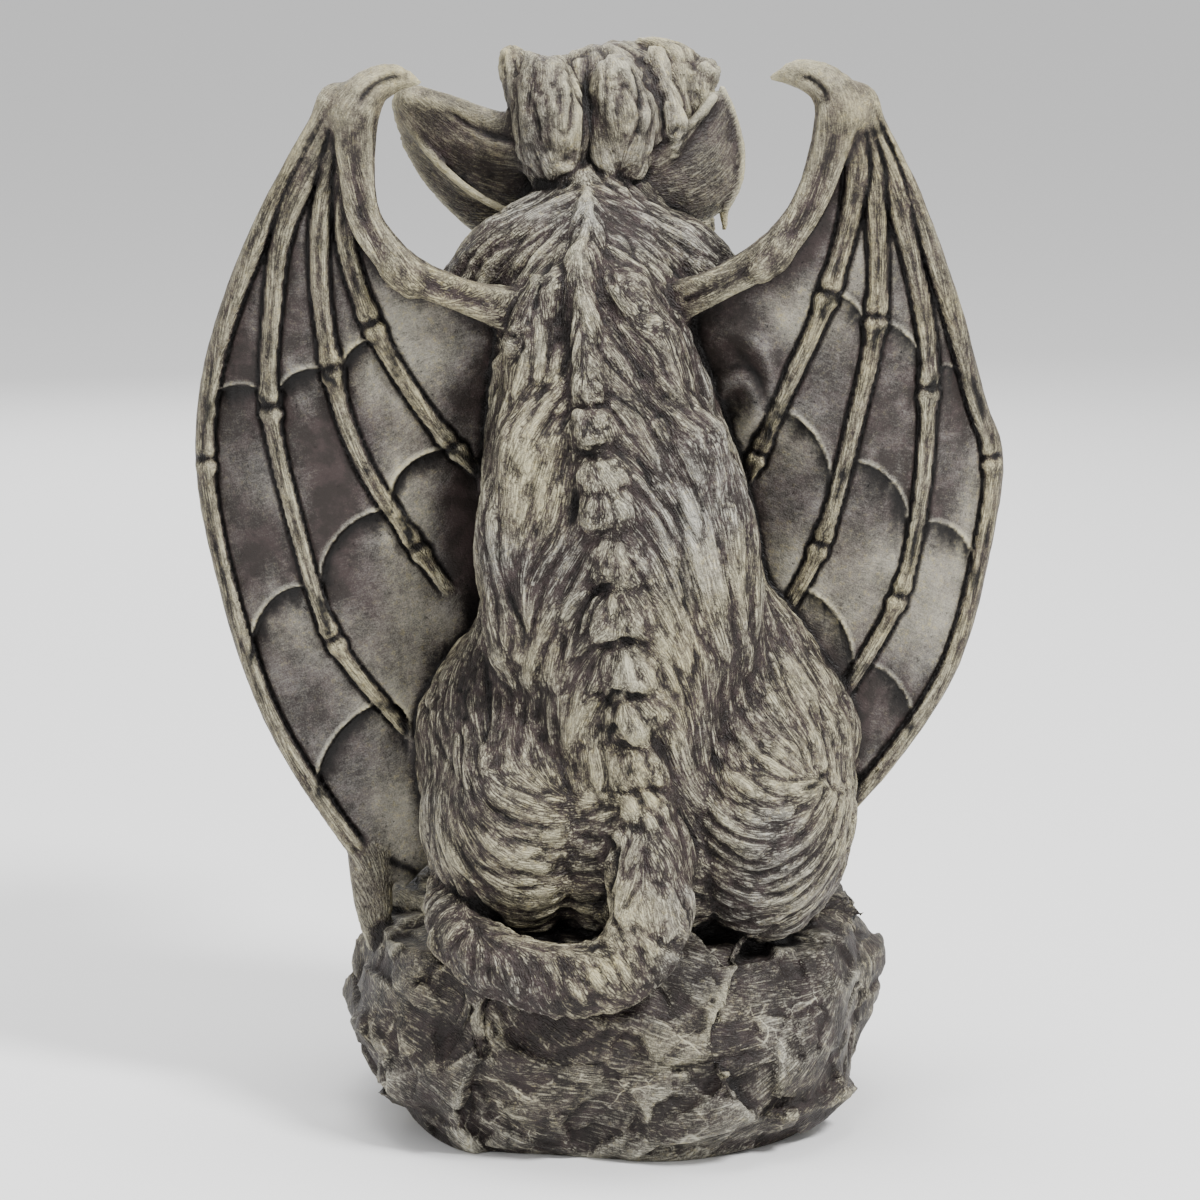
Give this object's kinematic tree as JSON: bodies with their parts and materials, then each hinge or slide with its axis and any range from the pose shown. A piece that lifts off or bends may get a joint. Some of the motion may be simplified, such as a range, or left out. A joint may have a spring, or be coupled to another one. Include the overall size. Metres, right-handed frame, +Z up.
{
  "type": "gargoyle statue",
  "caption": "Cast garden statue of a winged, horned gargoyle squatting on a rough rock, head turned, tail curled round the haunch, to stand by its own weight.",
  "frame": {"origin": "centre of the rock's flat underside", "axes": "+Z up; the beast's chest faces -Y and its spine +Y; its left wing is at +X"},
  "size_m": [0.3767, 0.2545, 0.508],
  "materials": {
    "aged_cast_stone": "cast resin and stone powder, dark umber in the hollows and dry-brushed grey-cream on the high edges, slightly satin"
  },
  "bodies": {
    "root": {"gargoyle": "aged_cast_stone"}
  },
  "joints": []
}
